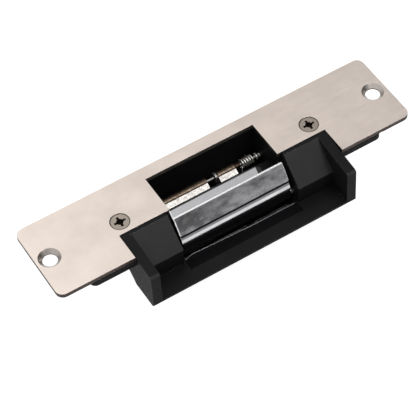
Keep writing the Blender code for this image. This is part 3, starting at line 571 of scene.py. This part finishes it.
def refined_copy(node, materials, slot):
    """A copy of a CAD node with rounded edges, which stands for it."""
    width, rim = EDGES.get(node, PLAIN_EDGE)
    source = frame["nodes"][node]
    bm = bmesh.new()
    bm.from_mesh(source.data)
    bmesh.ops.remove_doubles(bm, verts=bm.verts[:], dist=SAME_POINT * MM)
    bmesh.ops.dissolve_limit(bm, angle_limit=math.radians(FLAT_ANGLE), verts=bm.verts[:],
                             edges=bm.edges[:])
    mesh = bpy.data.meshes.new(node + "_fine")
    mesh.materials.append(materials[slot])
    if rim:
        mesh.materials.append(materials[rim])
    if node in END_CHAMFERS:
        chamfer_ends(bm, END_CHAMFERS[node])
    if node in TOP_CUTS:
        level = box(node)[1].z - TOP_CUTS[node] * MM
        bmesh.ops.bisect_plane(bm, geom=bm.verts[:] + bm.edges[:] + bm.faces[:],
                               plane_co=(0.0, 0.0, level), plane_no=(0.0, 0.0, 1.0))
    for name, belongs in REGIONS.get(node, ()):
        mesh.materials.append(materials[name])
        for face in bm.faces:
            if belongs(face):
                face.material_index = len(mesh.materials) - 1
    bm.to_mesh(mesh)
    bm.free()
    piece = bpy.data.objects.new(node + "_fine", mesh)
    bpy.context.scene.collection.objects.link(piece)
    mesh.shade_smooth()
    modifier = piece.modifiers.new("edges", "BEVEL")
    modifier.width = width * MM
    modifier.segments = EDGE_STEPS
    modifier.limit_method = "ANGLE"
    modifier.angle_limit = math.radians(EDGE_ANGLE)
    modifier.miter_outer = "MITER_ARC"
    # The bevel faces take the edge material, which carries painted edge tones
    if rim:
        modifier.material = 1
    flatten = piece.modifiers.new("flatten", "WEIGHTED_NORMAL")
    flatten.weight = 100
    flatten.keep_sharp = True
    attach(piece, source["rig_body"])
    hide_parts(node)
    return piece


def within(value, limits):
    return limits[0] < value < limits[1]


def is_plate_side(face):
    """The plate's sheared sides and the sides of its holes, which take a dark painted reflection.
    """
    return abs(face.normal.z) < 0.3


def is_opening_side(face):
    """The far side of the latch opening, which faces the keeper and takes a darker painted shade.
    """
    middle = face.calc_center_median()
    low, high = box("face_plate")
    inside = within(middle.y, (low.y + PLATE_BORDER * MM, high.y - PLATE_BORDER * MM))
    return inside and face.normal.y < -0.7 and abs(middle.x) < OPENING_HALF * MM


def reach_from_screw(face):
    """How far a face lies from the nearer body screw's axis, seen from above."""
    middle = face.calc_center_median()
    low, high = box("plate_screw_right")
    return math.hypot(abs(middle.x) - (low.x + high.x) / 2, middle.y - (low.y + high.y) / 2)


def is_mount_sink(face):
    """Any countersink in the plate, which takes a darker painted shade."""
    return within(face.normal.z, (0.3, 0.95))


def is_sink(face):
    """The countersinks round the body screws' heads, painted near black as a painted shadow ring.
    """
    return is_mount_sink(face) and reach_from_screw(face) < SINK_REACH * MM


def is_body_side(face):
    """The casting's upright faces."""
    return abs(face.normal.z) < 0.4


def is_ramp(face):
    """The sloping faces that the latch bolt rides up."""
    return face.normal.y < -0.5 and face.normal.z > 0.5


def is_knuckle(face):
    """The rolled part of the lever's hinge leaves, above their sloping fronts, painted a darker
    brown as painted shade.
    """
    low, high = box("lever_collar")
    axis = (low + high) / 2
    points = [vert.co for vert in face.verts]
    near = (high.z - low.z) / 2 * KNUCKLE_SHARE
    rolled = all(math.hypot(point.y - axis.y, point.z - axis.z) < near for point in points)
    return rolled and abs(face.normal.x) < 0.5


def keeper_drop(face):
    """How far a face's middle lies below the keeper's top, in mm."""
    return (box("keeper")[1].z - face.calc_center_median().z) / MM


def is_ledge(face):
    """The narrow ledge along the top of the keeper's front, painted near white as a painted
    highlight.
    """
    return face.normal.z > 0.9 and within(keeper_drop(face), KEEPER_LEDGE)


def is_keeper_front(face):
    """The long face between the keeper's ledge and its groove, whose chrome is painted darker
    towards the left as a reflection.
    """
    return face.normal.y < -0.6 and within(keeper_drop(face), KEEPER_FRONT)


def is_keeper_end(face):
    """The chamfers at the ends of the keeper's front, painted near white as a painted highlight.
    """
    return within(abs(face.normal.x), (0.15, 0.95)) and within(keeper_drop(face), KEEPER_FRONT)


def is_keeper_band(face):
    """The bright band under the keeper's groove, which takes a slightly darker painted copy of the
    chrome.
    """
    return face.normal.y < -0.6 and within(keeper_drop(face), KEEPER_BAND)


def is_keeper_low(face):
    """The keeper's top edge strip, its groove, its front below the bright band, its back: all
    painted near black as painted shade.
    """
    drop = keeper_drop(face)
    top_strip_shade = drop < TOP_CUTS["keeper"]
    below = drop > KEEPER_BAND[1]
    return top_strip_shade or below or within(drop, KEEPER_GROOVE) or face.normal.y > 0.3


def is_body_hollow(face):
    """Everything inside the body that lies below its shelf's top, painted darker and less glossy
    as painted shade.
    """
    low, high = box("strike_body")
    middle = face.calc_center_median()
    across = abs(middle.x) < HOLLOW_HALF * MM
    inside = within(middle.y, (low.y + HOLLOW_FRONT * MM, high.y - BODY_WALL * MM))
    return across and inside and middle.z < low.z + HOLLOW_TOP * MM


def is_recess(face):
    """The driver's cross in a screw head, painted near black as painted shade."""
    drop = (box("plate_screw_right")[1].z - face.calc_center_median().z) / MM
    return reach_from_screw(face) < CROSS_REACH * MM and within(drop, CROSS_DROP)


# Faces of a node that take another material; a later rule wins
REGIONS = {
    "face_plate": (("plate_side", is_plate_side), ("opening_side", is_opening_side),
                   ("mount_sink", is_mount_sink), ("sink", is_sink)),
    "strike_body": (("body_wall", is_body_side), ("body_ramp", is_ramp),
                    ("body_deep", is_body_hollow)),
    "locking_lever": (("knuckle", is_knuckle),),
    "keeper": (("keeper_front", is_keeper_front), ("keeper_band", is_keeper_band),
               ("keeper_low", is_keeper_low), ("keeper_rim", is_ledge),
               ("keeper_rim", is_keeper_end)),
    "plate_screw_left": (("recess", is_recess),),
    "plate_screw_right": (("recess", is_recess),),
}


def add_bar(name, path, sizes, material, body, sides=10):
    """A bar along X with an oval section, half as wide and high as given at each point."""
    rings = []
    for point, (half_width, half_height) in zip(path, sizes):
        angles = [math.tau * side / sides for side in range(sides)]
        rings.append([point + Vector((0.0, half_width * math.cos(angle),
                                      half_height * math.sin(angle))) for angle in angles])
    piece = skin(name, rings, material)
    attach(piece, body)


# The lip along the shelf's inner edge, in mm: half its length, its radius, how far it bows
# back over the hollow, where the bow is fullest, and how much it falls off for each mm
LIP_HALF = 24.2
LIP_RADIUS = 0.2
LIP_BOW = 1.1
LIP_FULL_X = -19.5
LIP_FALL = 0.045
LIP_STEPS = 60
# Where the shelf's inner edge is, from the tray's front and from the body's underside, in mm
SHELF_EDGE_Y = 10.8
SHELF_EDGE_Z = 7.8
# Share of its full radius that the lip keeps at its very ends
LIP_TIP = 0.15


def lip_bow(x):
    """How far the lip stands back from the shelf's edge at a place along it, in mm."""
    if x < LIP_FULL_X:
        return LIP_BOW * math.sin(math.pi / 2 * (x + LIP_HALF) / (LIP_FULL_X + LIP_HALF))
    return max(LIP_BOW - LIP_FALL * (x - LIP_FULL_X), 0.0)


def make_shelf_lip(materials):
    """The thin cast lip along the shelf's inner edge under the keeper, and its bead, which is
    rubbed and also painted lighter as a highlight line.
    """
    low, _ = box("strike_body")
    body = frame["nodes"]["strike_body"]["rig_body"]
    edge_y = low.y + SHELF_EDGE_Y * MM
    edge_z = low.z + SHELF_EDGE_Z * MM
    bead, bead_sizes, web, web_sizes = [], [], [], []
    for step in range(LIP_STEPS + 1):
        x = LIP_HALF * (2 * step / LIP_STEPS - 1)
        end_share = min(1.0, (LIP_HALF - abs(x)) / (4 * LIP_RADIUS))
        radius = LIP_RADIUS * (LIP_TIP + (1 - LIP_TIP) * math.sqrt(end_share)) * MM
        bow = lip_bow(x) * MM
        bead.append(Vector((x * MM, edge_y + bow, edge_z)))
        bead_sizes.append((radius, radius))
        web.append(Vector((x * MM, edge_y + bow / 2, edge_z - LIP_RADIUS * MM)))
        web_sizes.append((bow / 2 + radius, radius))
    add_bar("shelf_bead", bead, bead_sizes, materials["bead"], body)
    # The lip's web takes the hollow's darker painted shade
    add_bar("shelf_lip", web, web_sizes, materials["body_deep"], body)


def dress(materials):
    """Give every CAD node its material, and stand a finer piece in for it."""
    for entry in frame["record"]["subparts"]:
        node = entry["node"]
        slot = entry["material_slot"]
        item = frame["nodes"][node]
        item.data.materials.clear()
        item.data.materials.append(materials[slot])
        if node in SPRINGS:
            make_spring(node, materials, slot)
        else:
            refined_copy(node, materials, slot)


def main():
    bpy.context.scene.view_settings.view_transform = "Standard"
    make_camera()
    make_floor()
    make_world()
    make_light("key", *KEY_LIGHT)
    make_light("fill", *FILL_LIGHT)
    materials = make_materials()
    dress(materials)
    make_shelf_lip(materials)


main()
